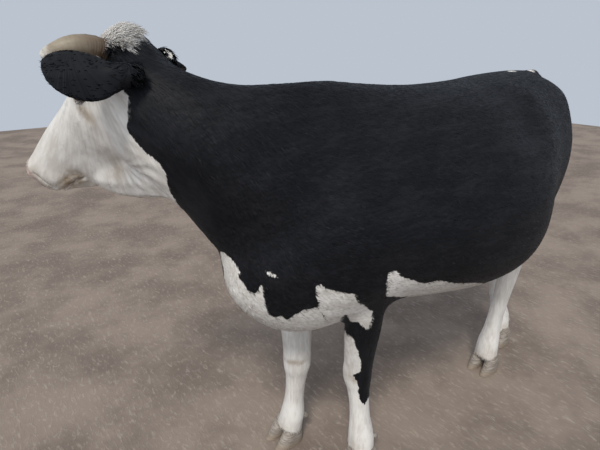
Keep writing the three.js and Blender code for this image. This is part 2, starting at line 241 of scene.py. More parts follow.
def joined(shapes):
    """Several pairs of points and faces as one."""
    points, faces, start = [], [], 0
    for shape_points, shape_faces in shapes:
        points.append(shape_points)
        faces += [[c + start for c in f] for f in shape_faces]
        start += len(shape_points)
    return np.concatenate(points), faces


def set_values(mesh, name, values):
    layer = mesh.attributes.new(name, "FLOAT", "POINT")
    layer.data.foreach_set("value", np.asarray(values, np.float32))


def rows_of(items, key, width, kind):
    """One value of all of a mesh's items, a row for each."""
    flat = np.empty(len(items) * width, kind)
    items.foreach_get(key, flat)
    return flat.reshape(-1, width)


def points_of(mesh):
    return rows_of(mesh.vertices, "co", 3, np.float32).astype(float)


def edges_of(mesh):
    return rows_of(mesh.edges, "vertices", 2, np.int32)


def normals_of(mesh):
    return unit(rows_of(mesh.vertices, "normal", 3, np.float32).astype(float))


def step(low, high, value):
    """0 below low, 1 above high and smooth between."""
    t = np.clip((value - low) / (high - low), 0, 1)
    return t * t * (3 - 2 * t)


def near(points, at, reach):
    """1 at a place, fading over its reach each way."""
    far = (((points - np.array(at)) / np.array(reach)) ** 2).sum(-1)
    return np.exp(-far)


def average(values, edges, strength, rounds):
    """Diffuses values over the mesh. Rounds may differ from point to point."""
    values = values.copy()
    size = len(values)
    a, b = edges.T
    degree = np.maximum(np.bincount(edges.ravel(), minlength=size), 1)
    flat = values.reshape(size, -1)
    rounds = np.broadcast_to(rounds, size)
    for k in range(int(math.ceil(rounds.max()))):
        share = strength * np.clip(rounds - k, 0, 1)
        total = np.stack(
            [
                np.bincount(a, flat[b, c], size) + np.bincount(b, flat[a, c], size)
                for c in range(flat.shape[1])
            ],
            1,
        )
        flat += share[:, None] * (total / degree[:, None] - flat)
    return flat.reshape(values.shape)


# ---- The head's own frame: the poll is its origin and the face looks along -X ----

POLL = np.array([-522.0, 163.0, 1464.0])
HEAD_TURN = (22.1, -35.9, -60.2)  # roll, pitch and yaw in degrees
HEAD_SIZE = 1.02


def turn_matrix(roll, pitch, yaw):
    def about(axis, degrees):
        c, s = math.cos(math.radians(degrees)), math.sin(math.radians(degrees))
        i, j = [(1, 2), (2, 0), (0, 1)][axis]
        matrix = np.eye(3)
        matrix[i, i] = matrix[j, j] = c
        matrix[i, j], matrix[j, i] = -s, s
        return matrix

    return about(2, yaw) @ about(1, pitch) @ about(0, roll)


HEAD_AXES = turn_matrix(*HEAD_TURN)


def on_head(points):
    """The head's own millimetres to the cow's."""
    return np.asarray(points, float) * HEAD_SIZE @ HEAD_AXES.T + POLL


def in_head(points):
    return (np.asarray(points, float) - POLL) @ HEAD_AXES / HEAD_SIZE


def folded(local):
    """Both sides of the head as one."""
    return local * [1, 0, 1] + np.abs(local) * [0, 1, 0]


# ---- Markings: how far inside the black a place is, below 0 where it is white ----

# Edges of the markings, in pixels of the picture, each read off it.
BRISKET_EDGE = [
    (228, 255), (233, 261), (240, 272), (239, 277), (248, 290), (254, 293), (258, 290), (262, 284),
    (263, 296), (268, 314), (274, 318), (281, 316), (287, 321), (296, 314), (307, 310), (319, 308),
]
PATCH_TOP = [(315, 287), (319, 286), (331, 291), (348, 295), (354, 295), (358, 303)]
PATCH_FOOT = [(373, 313), (372, 320), (368, 330), (358, 323), (350, 321), (346, 316)]
PATCH_END = [(342, 318)]
BELLY_EDGE = [(388, 275), (400, 277), (412, 281), (425, 284), (440, 281), (455, 284), (475, 284)]
SHIN_EDGE = [(358, 385), (353, 376), (361, 372), (361, 362), (358, 350), (353, 339), (348, 329)]
CHEEK_EDGE = [
    (180, 208), (173, 198), (167, 186), (166, 174), (159, 164), (150, 157), (142, 150), (134, 141),
    (127, 130), (127, 120), (127, 110), (128, 97),
]


def seen(spots):
    """Where the eye point's sight through spots of the picture meets the flesh, in the cow's frame."""
    down, turn = math.radians(VIEW_DOWN), math.radians(VIEW_TURN)
    level = math.cos(down)
    ahead = np.array([math.sin(turn) * level, math.cos(turn) * level, -math.sin(down)])
    aside = np.array([math.cos(turn), -math.sin(turn), 0])
    eye = to_frame(EYE_POINT)
    found = []
    for spot in spots:
        right, below = (np.array(spot) - PICTURE / 2) / (LENS / SENSOR * PICTURE[0])
        sight = ahead + right * aside - below * np.cross(aside, ahead)
        casts = [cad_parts[name].ray_cast(eye, sight) for name in FLESH]
        places = [np.array(place) for met, place, _, _ in casts if met]
        found.append(min(places, key=lambda place: np.linalg.norm(place - eye)))
    return to_cow(found)


def level_outline(spots):
    """Spots of the picture as whole millimetres across and up, from the cow's left front."""
    places = seen(spots)
    return np.stack([places[:, :2] @ ACROSS, places[:, 2]], 1).round().tolist()


# Each outline is in millimetres across and up. What no edge gives is out of sight, or guessed.
ACROSS = np.array([0.788, -0.616])
BELLY_START, *BELLY_ONWARD = level_outline(BELLY_EDGE)
BRISKET_WHITE = [
    (-420, 950), (-300, 950), *level_outline(BRISKET_EDGE), (6, 700), (66, 640), (66, 450), (-420, 450)
]
FORELEG_WHITE = level_outline(PATCH_TOP + PATCH_FOOT + PATCH_END)
FORELEG_WHITE += [(44, 660), (6, 700), *level_outline(BRISKET_EDGE[-1:])]
BELLY_WHITE = [
    BELLY_START, (196, 862), *BELLY_ONWARD, (560, 690), (600, 600), (600, 450), (300, 450),
    (290, 650), (236, 730), (178, 768),
]
INNER_BLACK = [(34, 664), (47, 660), (50, 620), (53, 575), (48, 548), (36, 545)]
FORELEG_BLACK = [
    *level_outline(PATCH_FOOT[::-1]), (260, 760), (280, 480), (230, 380), (190, 300), (152, 268),
    (133, 300), *level_outline(SHIN_EDGE), (58, 640), (50, 668),
]
# Where the white of the face ends: down from the poll, and how far back from it.
FACE_EDGE = [
    (-430, -160), *in_head(seen(CHEEK_EDGE)).round()[:, [2, 0]].tolist(), (-60, -10), (-13, -17), (10, -25)
]
POLL_WHITE = 48  # how far back the white goes between the ears
HIND_SOCK = 640  # height of the white on the hind legs
FORE_SOCK = 596
SOCKS_TOP = 760
CHEST_SPOT = {"at": (-153, 899), "radius": 6, "stretch": 1.9, "slant": 0.35}
RUMP_SPOTS = {"at": [(968, -12, 1366), (1128, -12, 1366)], "radius": 18}


def inside(places, outline):
    """Distance inside a closed outline, below 0 outside it."""
    outline = np.array(outline, float)
    best = np.full(len(places), 1e9)
    within = np.zeros(len(places), bool)
    for a, b in zip(outline, np.roll(outline, -1, 0)):
        edge = b - a
        share = np.clip(((places - a) @ edge) / (edge @ edge), 0, 1)
        best = np.minimum(best, np.linalg.norm(places - a - share[:, None] * edge, axis=1))
        spans = (a[1] > places[:, 1]) != (b[1] > places[:, 1])
        rise = b[1] - a[1] if b[1] != a[1] else 1e-9
        crossing = a[0] + (places[:, 1] - a[1]) / rise * edge[0]
        within ^= spans & (places[:, 0] < crossing)
    return np.where(within, best, -best)


def black_of(points):
    """How far inside the black a place is, by the markings of body and head."""
    x, y, z = points.T
    # The right side's outlines are the left's, shifted and waved.
    far = step(0, 50, y)
    across = ACROSS[0] * x - ACROSS[1] * np.abs(y) + far * (22 + 18 * np.sin(z / 31))
    near_side = np.stack([across, z - far * (20 + 24 * np.sin(x / 43))], 1)
    white = np.maximum(inside(near_side, BRISKET_WHITE), inside(near_side, BELLY_WHITE))
    white = np.maximum(white, inside(near_side, FORELEG_WHITE))
    gap, rise = across - CHEST_SPOT["at"][0], z - CHEST_SPOT["at"][1]
    off = np.hypot(gap / CHEST_SPOT["stretch"], rise + CHEST_SPOT["slant"] * gap)
    white = np.maximum(white, CHEST_SPOT["radius"] - 400 * far - off)
    for at in RUMP_SPOTS["at"]:
        white = np.maximum(white, RUMP_SPOTS["radius"] - np.linalg.norm(points - at, axis=1))
    # The legs are white, but for the black down the back of the left fore one.
    ragged = 26 * np.sin(x / 23 + 1) + 20 * np.sin(y / 17 + x / 40)
    sock = np.where(x > 700, HIND_SOCK + ragged, FORE_SOCK) - z
    white = np.where(z < SOCKS_TOP, np.maximum(white, sock), white)
    patch = np.maximum(inside(near_side, FORELEG_BLACK), inside(near_side, INNER_BLACK))
    patch = np.where((y < -20) & (x < 420) & (z < 720), patch, -1e3)
    black = np.where(patch > -40, np.maximum(-white, patch), -white)
    # Face.
    local = in_head(points)
    aside, up = np.abs(local[:, 1]), local[:, 2]
    edge = np.interp(up, *np.array(FACE_EDGE, float).T)
    poll = step(66, 36, aside) * step(-75, -40, up)
    edge = edge + (POLL_WHITE - edge) * poll
    face = step(-440, -410, up) * step(330, 250, np.linalg.norm(local * [0.55, 1, 1], axis=1) - 60)
    head_black = local[:, 0] - edge
    return np.where((local[:, 0] < 160) & (up > -430) & (face > 0), head_black, black)


def bare_of(points):
    """Bare skin: the nose pad, the lips' edge, the udder and its teats."""
    local = in_head(points)
    nose = step(-452, -468, local[:, 0] - 0.35 * (local[:, 2] + 100)) * step(-160, -120, local[:, 2])
    lip = near(local, (-420, 0, -152), (60, 90, 9)) * step(-340, -370, local[:, 0])
    x, y, z = points.T
    udder = step(830, 880, x) * step(1150, 1110, x) * step(128, 96, np.abs(y)) * step(790, 700, z)
    udder *= step(440, 520, z)
    return np.clip(np.maximum(np.maximum(nose, 0.8 * lip), udder), 0, 1)


def stain_and_shade_of(points):
    """Dirt, worn yellowish hair, a darker brown patch at the near knee, and painted shade under the jaw
    and in the far knee's crease.
    """
    x, _, z = points.T
    local = in_head(points)
    sides = folded(local)
    mouth = 1.3 * near(sides, (-378, 56, -148), (42, 32, 27))
    tear = 0.85 * near(sides, (-124, 102, -66), (13, 20, 32))
    # Painted shade under the jaw.
    jaw = 0.5 * near(sides, (-215, 84, -205), (60, 40, 30))
    muzzle = 0.35 * near(sides, (-452, 50, -80), (30, 30, 60))
    # A darker brown patch at the near knee.
    knee = 0.6 * near(points, (56, -118, 388), (34, 50, 22))
    # Painted shade in the far knee's crease.
    far_knee = 0.9 * near(points, (-66, 60, 397), (46, 40, 9))
    foot = 0.35 * step(150, 70, z)
    switch = 0.4 * step(1240, 1270, x) * step(620, 450, z)
    stains_and_shade = np.stack([mouth, tear, jaw, muzzle, knee, far_knee, foot, switch])
    return np.clip(stains_and_shade.max(0), 0, 1)


def limb_share(points):
    """1 on the legs, fading to 0 on the body."""
    return step(640, 560, points[:, 2])


WHORL = np.array([-60.0, 0.0, 30.0])  # the hair of the face fans out from here


def strand_of(points):
    """On the face: round the whorl, away from it, and how much of the face it is."""
    gap = in_head(points) - WHORL
    fan = np.arctan2(gap[:, 2], gap[:, 0] - 0.5 * np.abs(gap[:, 1]))
    face = step(60, 0, gap[:, 0] - 60) * step(-340, -420, points[:, 0])
    return {"fan": fan, "reach": np.linalg.norm(gap, axis=1) / 1000, "face": face}


# ---- Materials ----


class Shader:
    """A material's node tree, built by short calls."""

    def __init__(self, name):
        self.material = bpy.data.materials.new(name)
        self.material.use_nodes = True
        self.tree = self.material.node_tree
        self.tree.nodes.clear()
        self.surface = self.node("ShaderNodeBsdfPrincipled")
        output = self.node("ShaderNodeOutputMaterial")
        self.tree.links.new(self.surface.outputs[0], output.inputs[0])

    def node(self, kind, inputs=None, **settings):
        made = self.tree.nodes.new(kind)
        for key, value in settings.items():
            setattr(made, key, value)
        for key, value in (inputs or {}).items():
            self.put(made.inputs[key], value)
        return made

    def put(self, socket, value):
        if isinstance(value, bpy.types.NodeSocket):
            self.tree.links.new(value, socket)
        else:
            socket.default_value = value

    def place(self, stretch=(1, 1, 1), turn=(0, 0, 0)):
        here = self.node("ShaderNodeTexCoord").outputs["Object"]
        inputs = {"Vector": here, "Rotation": turn, "Scale": stretch}
        return self.node("ShaderNodeMapping", inputs).outputs[0]

    def value(self, name):
        return self.node("ShaderNodeAttribute", attribute_name=name).outputs["Fac"]

    def noise(self, scale, detail=2.0, rough=0.5, stretch=(1, 1, 1), distortion=0.0, place=None):
        inputs = {"Scale": scale, "Detail": detail, "Roughness": rough, "Distortion": distortion}
        inputs["Vector"] = self.place(stretch) if place is None else place
        return self.node("ShaderNodeTexNoise", inputs).outputs[0]

    def streak(self, scale):
        """Noise drawn out along the hair: of the body, the legs and the face."""
        body = self.place((0.8, 6, 6), (0, -0.52, 0))
        legs = self.place((6, 6, 0.8))
        round_whorl = {"X": self.times(self.value("fan"), 1.3), "Y": self.times(self.value("reach"), 0.8)}
        face = self.node("ShaderNodeCombineXYZ", round_whorl).outputs[0]
        body, legs, face = (self.noise(scale, 4, 0.6, place=place) for place in (body, legs, face))
        return self.blend(self.value("face"), self.blend(self.value("limb"), body, legs), face)

    def math(self, operation, *values):
        return self.node("ShaderNodeMath", dict(enumerate(values)), operation=operation).outputs[0]

    def plus(self, a, b):
        return self.math("ADD", a, b)

    def times(self, a, b):
        return self.math("MULTIPLY", a, b)

    def about_half(self, noise, size):
        """Noise drawn out to both sides of 0."""
        return self.times(self.math("SUBTRACT", noise, 0.5), size)

    def span(self, value, low, high, to_low=0.0, to_high=1.0):
        inputs = {"Value": value, "From Min": low, "From Max": high, "To Min": to_low, "To Max": to_high}
        return self.node("ShaderNodeMapRange", inputs, interpolation_type="SMOOTHSTEP").outputs[0]

    def mix(self, share, a, b):
        """Between two colours, whose sockets come after those of numbers and vectors."""
        return self.node("ShaderNodeMix", {0: share, 6: a, 7: b}, data_type="RGBA").outputs[2]

    def blend(self, share, a, b):
        return self.node("ShaderNodeMix", {0: share, 2: a, 3: b}, data_type="FLOAT").outputs[0]

    def bump(self, height, distance, strength):
        inputs = {"Height": height, "Distance": distance, "Strength": strength}
        return self.node("ShaderNodeBump", inputs).outputs[0]

    def set(self, **inputs):
        for key, value in inputs.items():
            self.put(self.surface.inputs[key.replace("_", " ")], value)


BLACK = (0.0045, 0.005, 0.0068, 1)
BLACK_WORN = (0.011, 0.0115, 0.0145, 1)
BLACK_GREY = (0.028, 0.028, 0.033, 1)
WHITE = (0.80, 0.775, 0.735, 1)
WHITE_DULL = (0.62, 0.585, 0.535, 1)
WHITE_SHADED = (0.50, 0.46, 0.42, 1)
# Brown of stains and dirt, also painted shade under the jaw and in the far knee's crease.
STAIN_AND_SHADE = (0.22, 0.15, 0.08, 1)
BARE = (0.50, 0.385, 0.345, 1)
# Dark bare skin for the nose pad's mottles, also painted shade in the nostrils and round the eye openings.
BARE_DARK_AND_SHADE = (0.16, 0.12, 0.11, 1)


def coat_material(name, fine):
    """Fur, with the markings from the black value. Fine is for the tufts, which have their own
    shade and need no bump of hair."""
    s = Shader(name)
    ragged = s.about_half(s.noise(48, 3, 0.6, (1, 1, 0.7)), 16)
    hairs = s.about_half(s.noise(240, 2, 0.6, (1, 1, 0.35)), 10)
    edge = s.plus(s.plus(s.value("black"), ragged), hairs)
    black = s.span(edge, -1.5, 1.5)
    cloud = s.noise(7, 3)
    broad, fine_streaks = s.streak(4.5), s.streak(20)
    streaks = s.plus(s.times(broad, 0.55), s.times(fine_streaks, 0.45))
    mixed = s.plus(s.times(streaks, 0.75), s.times(cloud, 0.25))
    shade = s.value("shade")
    dark = s.mix(s.span(mixed, 0.44, 0.62), BLACK, BLACK_WORN)
    dark = s.mix(s.span(shade, 0.3, 1.0, 0, 0.3), dark, BLACK_GREY)
    light = s.mix(s.span(mixed, 0.40, 0.58), WHITE_DULL, WHITE)
    light = s.mix(s.span(shade, -1.0, 0.0, 0.3, 0), light, WHITE_SHADED)
    blotches = s.span(s.noise(30, 4, 0.65), 0.35, 0.62, 0.45, 1.0)
    # Stains, and painted shade under the jaw and in the far knee's crease, in one brown.
    light = s.mix(s.times(s.value("stain_and_shade"), blotches), light, STAIN_AND_SHADE)
    fur = s.mix(black, light, dark)
    thinning = s.about_half(cloud, 0.5)
    bare = s.span(s.plus(s.value("bare"), thinning), 0.35, 0.65)
    skin = s.mix(s.span(s.noise(45, 3), 0.52, 0.66), BARE, s.mix(0.35, BARE, BARE_DARK_AND_SHADE))
    # Where the holes are marked, the dark bare colour is painted shade in the nostrils and round the eye
    # openings.
    colour = s.mix(bare, fur, s.mix(s.value("hole_shade"), skin, BARE_DARK_AND_SHADE))
    s.set(Base_Color=colour, Roughness=s.blend(black, s.blend(bare, 0.75, 0.42), 0.56))
    s.set(Sheen_Weight=0.035, Sheen_Roughness=0.4, Sheen_Tint=(0.75, 0.85, 1.0, 1))
    s.set(Specular_IOR_Level=0.16)
    if not fine:
        pores = s.node("ShaderNodeTexVoronoi", {"Vector": s.place(), "Scale": 260})
        rough = s.blend(bare, fine_streaks, s.times(pores.outputs["Distance"], 0.8))
        s.set(Normal=s.bump(rough, 0.003, 0.5))
    return s.material


def horn_material():
    s = Shader("horn")
    along = s.value("along")
    rings = s.noise(16, 3, 0.6, (2, 2, 2))
    streaks = s.noise(60, 3, 0.6, (1.0, 0.25, 1.0))
    tone = s.plus(along, s.about_half(rings, 0.22))
    colour = s.mix(s.span(tone, 0.15, 0.62), (0.10, 0.062, 0.036, 1), (0.31, 0.26, 0.19, 1))
    colour = s.mix(s.span(tone, 0.6, 0.84), colour, (0.78, 0.75, 0.69, 1))
    colour = s.mix(s.span(streaks, 0.45, 0.72, 0, 0.55), colour, (0.20, 0.155, 0.105, 1))
    s.set(Base_Color=colour, Roughness=s.span(streaks, 0.3, 0.7, 0.42, 0.62), Specular_IOR_Level=0.4)
    bands = s.math("SINE", s.times(along, 210))
    height = s.plus(s.times(bands, s.span(along, 0.0, 0.6, 0.35, 0.0)), streaks)
    s.set(Normal=s.bump(height, 0.0012, 0.6))
    return s.material


def hoof_material():
    s = Shader("hoof")
    lines = s.noise(60, 3, 0.6, (0.5, 0.5, 5))
    grain = s.noise(160, 2, 0.5, (4, 4, 0.4))
    low = s.node("ShaderNodeSeparateXYZ", {0: s.place()})
    dirt = s.plus(s.span(low.outputs[2], 0.0, 0.05, 0.75, 0.1), s.times(lines, 0.3))
    colour = s.mix(s.span(lines, 0.35, 0.68), (0.20, 0.17, 0.145, 1), (0.40, 0.36, 0.31, 1))
    colour = s.mix(s.span(dirt, 0.4, 0.9, 0, 0.75), colour, (0.26, 0.20, 0.145, 1))
    s.set(Base_Color=colour, Roughness=s.span(grain, 0.3, 0.7, 0.5, 0.75), Specular_IOR_Level=0.3)
    height = s.plus(lines, s.times(grain, 0.35))
    s.set(Normal=s.bump(height, 0.0016, 0.7))
    return s.material


def eye_material():
    s = Shader("eye")
    iris, pupil = s.value("iris"), s.value("pupil")
    fibres = s.noise(900, 2, 0.6)
    brown = s.mix(s.span(fibres, 0.35, 0.7), (0.010, 0.005, 0.003, 1), (0.045, 0.022, 0.010, 1))
    veins = s.span(s.noise(300, 3, 0.6, distortion=1.5), 0.55, 0.7)
    white = s.mix(veins, (0.36, 0.29, 0.25, 1), (0.30, 0.12, 0.09, 1))
    colour = s.mix(s.span(iris, 0.94, 1.08), brown, white)
    colour = s.mix(s.span(pupil, 1.1, 0.9), colour, (0.001, 0.001, 0.0015, 1))
    s.set(Base_Color=colour, Roughness=0.06, Coat_Weight=1.0, Coat_Roughness=0.02)
    return s.material


# ---- Skin ----

VOXEL = 6.5
EYE = {"at": np.array([-106.0, 84.0, -33.0]), "radius": 19.0}


def fused_flesh():
    """The flesh of the frame as one even mesh."""
    shapes = []
    for name in FLESH:
        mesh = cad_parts[name].data
        shapes.append((points_of(mesh), [list(p.vertices) for p in mesh.polygons]))
    points, faces = joined(shapes)
    rough = mesh_object("rough", points, by_corners(faces))
    remesh = rough.modifiers.new("remesh", "REMESH")
    remesh.mode = "VOXEL"
    remesh.voxel_size = VOXEL * MM
    remesh.use_smooth_shade = True
    ready = rough.evaluated_get(bpy.context.evaluated_depsgraph_get())
    mesh = bpy.data.meshes.new_from_object(ready)
    bpy.data.objects.remove(rough)
    return mesh


def softness(points):
    """How wide the facets of the frame are smoothed away, by place."""
    x, y, z = points.T
    local = in_head(points)

    def towards(wide, goal, share):
        return wide + (goal - wide) * share

    wide = np.full(len(points), 46.0)
    wide = towards(wide, 30, step(-330, -470, x))
    wide = towards(wide, 8, step(40, -20, local[:, 0]) * step(-330, -420, x))
    wide = towards(wide, 22, step(1010, 760, z) * step(960, 1060, x))
    wide = towards(wide, 13, step(720, 560, z))
    wide = towards(wide, 9, step(1225, 1262, x))
    udder = step(830, 860, x) * step(1140, 1110, x) * step(130, 100, np.abs(y)) * step(700, 640, z)
    return towards(wide, 5, udder * step(440, 500, z) * step(150, 110, np.abs(y)))


def coat_depth(points):
    """How far the skin lies inside the tips of the coat."""
    x = points[:, 0]
    local = in_head(points)
    depth = np.full(len(points), 5.0)
    depth += (2.5 - depth) * step(20, -30, local[:, 0]) * step(-330, -420, x)
    depth += (3.0 - depth) * limb_share(points)
    depth += (0.5 - depth) * bare_of(points)
    depth += (-3.0 - depth) * near(points, (-290, 0, 840), (110, 200, 150))
    return depth


def skin_shape():
    mesh = fused_flesh()
    edges = edges_of(mesh)
    points = to_cow(points_of(mesh))
    strength = 0.6
    rounds = average(2 * softness(points) ** 2 / (strength * VOXEL**2), edges, 0.5, 12)
    soft = average(points, edges, strength, rounds)
    soft = soft + average(points - soft, edges, strength, rounds)
    write_points(mesh, soft)
    write_points(mesh, soft - normals_of(mesh) * coat_depth(soft)[:, None])
    return mesh


def write_points(mesh, points):
    mesh.vertices.foreach_set("co", to_frame(points).astype(np.float32).ravel())
    mesh.update()


def refine(mesh, chosen, rounds):
    """Splits the faces whose corners are all chosen, and evens what is new."""
    work = bmesh.new()
    work.from_mesh(mesh)
    work.verts.ensure_lookup_table()
    flags = chosen(to_cow(points_of(mesh)))
    edges = [e for e in work.edges if flags[e.verts[0].index] and flags[e.verts[1].index]]
    bmesh.ops.subdivide_edges(work, edges=edges, cuts=1, use_grid_fill=True)
    work.to_mesh(mesh)
    work.free()
    mesh.update()
    points = to_cow(points_of(mesh))
    where = chosen(points).astype(float)
    pairs = edges_of(mesh)
    even = average(points, pairs, 0.5, rounds * where)
    write_points(mesh, even + 0.9 * average(points - even, pairs, 0.5, rounds * where))


def face_parts(points):
    local = in_head(points)
    return (local[:, 0] < 40) & (points[:, 0] < -380) & (local[:, 2] > -330)


def fine_parts(points):
    local = in_head(points)
    sides = folded(local)
    ahead = points[:, 0] < -380
    eye = np.linalg.norm(sides - EYE["at"], axis=1) < 46
    muzzle = local[:, 0] < -425
    mouth = (np.abs(local[:, 2] + 155) < 22) & (local[:, 0] < -335)
    return ahead & (eye | muzzle | mouth) & (np.abs(local[:, 1]) > 8 * (local[:, 2] > -40))


def frame_about(axis, along):
    """Three directions: outward, along, and up across both."""
    out = unit(np.array(axis, float))
    run = np.array(along, float)
    run = unit(run - out * (run @ out))
    return out, run, np.cross(out, run)


def eye_frame(hand):
    """Where an eye looks, its inner corner lies, and what is across both."""
    return frame_about((-0.22, hand * 0.97, 0.1), (-0.93, -0.2 * hand, -0.26))


def add_lids(local, hand):
    """Lids that lie on the eyeball round an almond opening, whose inside dips behind it."""
    out, run, up = eye_frame(hand)
    up = up * np.sign(up[2])
    centre = EYE["at"] * [1, hand, 1]
    gap = local - centre
    along, rise, depth = gap @ run, gap @ up, gap @ out
    close = (np.linalg.norm(gap, axis=1) < 60) & (depth > -6)
    tall = np.where(rise > 0, 9.6, 8.4) * (1 - 0.25 * np.abs(along / 18) ** 3)
    ratio = np.hypot(along / 18.5, rise / np.maximum(tall, 3))
    over = EYE["radius"] + 2.8
    on_ball = np.sqrt(np.maximum(over**2 - np.minimum(along**2 + rise**2, over**2), 0))
    lid = np.maximum(depth, on_ball) + 1.5 * np.exp(-(((ratio - 1.16) / 0.13) ** 2))
    share = step(2.3, 1.15, ratio)
    shaped = depth + share * (lid - depth)
    fold = np.exp(-(((ratio - 1.62) / 0.11) ** 2)) * step(0, 6, rise)
    low_fold = np.exp(-(((ratio - 1.75) / 0.12) ** 2)) * step(0, 6, -rise)
    shaped -= 1.9 * fold + 1.1 * low_fold
    pocket = step(1.03, 0.93, ratio)
    shaped += pocket * (5.0 - shaped)
    shift = np.where(close, shaped - depth, 0)
    return local + out * shift[:, None]


def add_nostril(local, hand):
    out, run, up = frame_about((-0.62, hand * 0.68, 0.4), (0.3, 0.45 * hand, -0.8))
    gap = local - np.array([-452, 44 * hand, -51])
    along, rise = gap @ run, gap @ up
    bent = rise + 0.018 * along**2 - 2
    ratio = np.hypot(along / 17, bent / 8)
    close = (np.linalg.norm(gap, axis=1) < 45)
    wing = 3.4 * np.exp(-(((ratio - 1.45) / 0.35) ** 2))
    shift = np.where(close, wing - 17 * step(1.1, 0.55, ratio), 0)
    return local + out * shift[:, None]


def add_mouth(local):
    x, y, z = local.T
    line = -150 - 0.08 * (x + 470) - 6 * np.exp(-(((x + 350) / 18) ** 2))
    near_line = z - line
    reach = step(-338, -360, x)
    out = unit(np.stack([np.where(x < -455, -0.6, -0.1), np.sign(y) * step(0, 25, np.abs(y)), 0 * z], 1))
    groove = -5.5 * np.exp(-((near_line / 2.6) ** 2))
    lips = 2.6 * np.exp(-(((near_line - 10) / 7) ** 2)) + 3.0 * np.exp(-(((near_line + 10) / 7) ** 2))
    moved = reach * step(-30, -100, z) * (groove + lips)
    sides = folded(local)
    moved -= 3.2 * np.exp(-(((x + 446) / 4.5) ** 2)) * step(-62, -76, z) * step(-146, -132, z)
    moved += 4.0 * near(sides, (-420, 58, -116), (20, 26, 26))
    moved += 5.0 * near(sides, (-300, 52, -196), (46, 30, 26))
    moved -= 3.5 * near(sides, (-352, 58, -160), (18, 24, 20))
    return local + out * moved[:, None]


def add_creases(local, normals):
    """Loose skin that gathers behind the jaw and under the throat, and fine folds of the face."""
    x, _, z = local.T
    turn = np.arctan2(z + 195, x + 175)
    far = np.hypot(x + 175, z + 195)
    where = step(22, 45, far) * step(165, 90, far) * step(-0.1, -0.55, turn) * step(-2.9, -2.3, turn)
    gather = np.sin(15 * turn + 0.02 * far + 1.5 * np.sin(0.05 * far))
    fold = 1.2 * where * gather
    behind = 1.2 * near(folded(local), (-60, 98, -150), (30, 60, 70))
    fold += behind * np.sin(0.22 * (x + 0.4 * z))
    cheek = 2.2 * near(folded(local), (-205, 70, -120), (30, 60, 60))
    return local + normals * (fold - 0.6 * cheek)[:, None]


def shape_head(mesh):
    points = to_cow(points_of(mesh))
    local = in_head(points)
    ours = (local[:, 0] < 60) & (points[:, 0] < -340) & (local[:, 2] > -420)
    normals = normals_of(mesh) @ HEAD_AXES
    shaped = add_mouth(add_creases(local, normals))
    for hand in SIDES.values():
        shaped = add_nostril(add_lids(shaped, hand), hand)
    points[ours] = on_head(shaped)[ours]
    write_points(mesh, points)


# ---- Ears, of one piece with the skin ----

EAR = {"half": 56.5, "thick": 4.5}
EAR_CUP = 13
EARS = {
    "left": {"root": (39, -94, -81), "tip": (-11, -224, 29), "hollow": (-0.85, 0.35, -0.15)},
    "right": {"root": (22, 72, -101), "tip": (-96, 196, -134), "hollow": (0.75, -0.1, 0.5)},
}


def ear_shape(side):
    spec = EARS[side]
    root, tip = np.array(spec["root"], float), np.array(spec["tip"], float)
    half, thick = EAR["half"], EAR["thick"]
    rows = [
        (-0.1, 26, 26, 22, 28, 0), (0.08, 24, 27, 20, 31, 0), (0.22, 12, 21, 26, 40, 8),
        (0.4, thick, 8.5, half * 0.82, half * 0.96, 12), (0.6, thick, thick, half * 0.96, half, 13),
        (0.8, thick, thick, half * 0.8, half * 0.8, 11),
        (0.94, thick - 1.5, thick - 1.5, half * 0.44, half * 0.44, 6), (0.985, 1.5, 1.5, 6, 6, 0),
    ]
    stations = [
        {"at": tuple(root + (tip - root) * t), "up": up, "down": down, "plus": plus, "minus": minus,
         "cup": cup} for t, up, down, plus, minus, cup in rows
    ]

    def folds(t, angle):
        back = np.sin(angle) < 0
        spread = step(0.2, 0.4, t) * step(0.98, 0.8, t)
        ridge = 3.4 * np.cos(5 * angle + 4 * t) * spread
        root_folds = 1.5 * np.sin(46 * t + 2 * angle) * step(0.0, 0.08, t) * step(0.34, 0.2, t)
        ribs = 2.0 * np.cos(9 * angle) * spread
        return np.where(back, ridge * 0.6 + root_folds, 0.5 * ribs + root_folds * 0.4)

    points, faces = loft(stations, 44, 52, spec["hollow"], relief=folds)
    return on_head(points), faces


def with_ears(mesh):
    """The skin and both ears made one, with the join smoothed."""
    skin = bpy.data.objects.new("skin", mesh)
    bpy.context.scene.collection.objects.link(skin)
    for side in SIDES:
        points, faces = ear_shape(side)
        ear = mesh_object(f"ear_{side}_shape", to_frame(points), by_corners(faces))
        union = skin.modifiers.new("ear", "BOOLEAN")
        union.operation = "UNION"
        union.solver = "MANIFOLD"
        union.object = ear
    ready = skin.evaluated_get(bpy.context.evaluated_depsgraph_get())
    made = bpy.data.meshes.new_from_object(ready)
    skin.modifiers.clear()
    skin.data = made
    for side in SIDES:
        bpy.data.objects.remove(bpy.data.objects[f"ear_{side}_shape"])
    points = to_cow(points_of(made))
    local = in_head(points)
    where = np.zeros(len(points))
    for side, hand in SIDES.items():
        root = np.array(EARS[side]["root"]) + [-4, 12 * hand, 2]
        where = np.maximum(where, np.exp(-(np.linalg.norm(local - root, axis=1) / 34) ** 4))
    points = average(points, edges_of(made), 0.5, 8 * where)
    write_points(made, points)
    return skin


EAR_OPENING = [(45, 68, -101), (6, 9, 16)]  # where the right one's pale hair is, and its reach
# From root to tip, the half breadth of a blade.
EAR_BREADTH = [(-0.1, 30), (0.2, 36), (0.4, 54), (0.6, 57), (0.8, 46), (0.94, 27), (1.0, 10)]


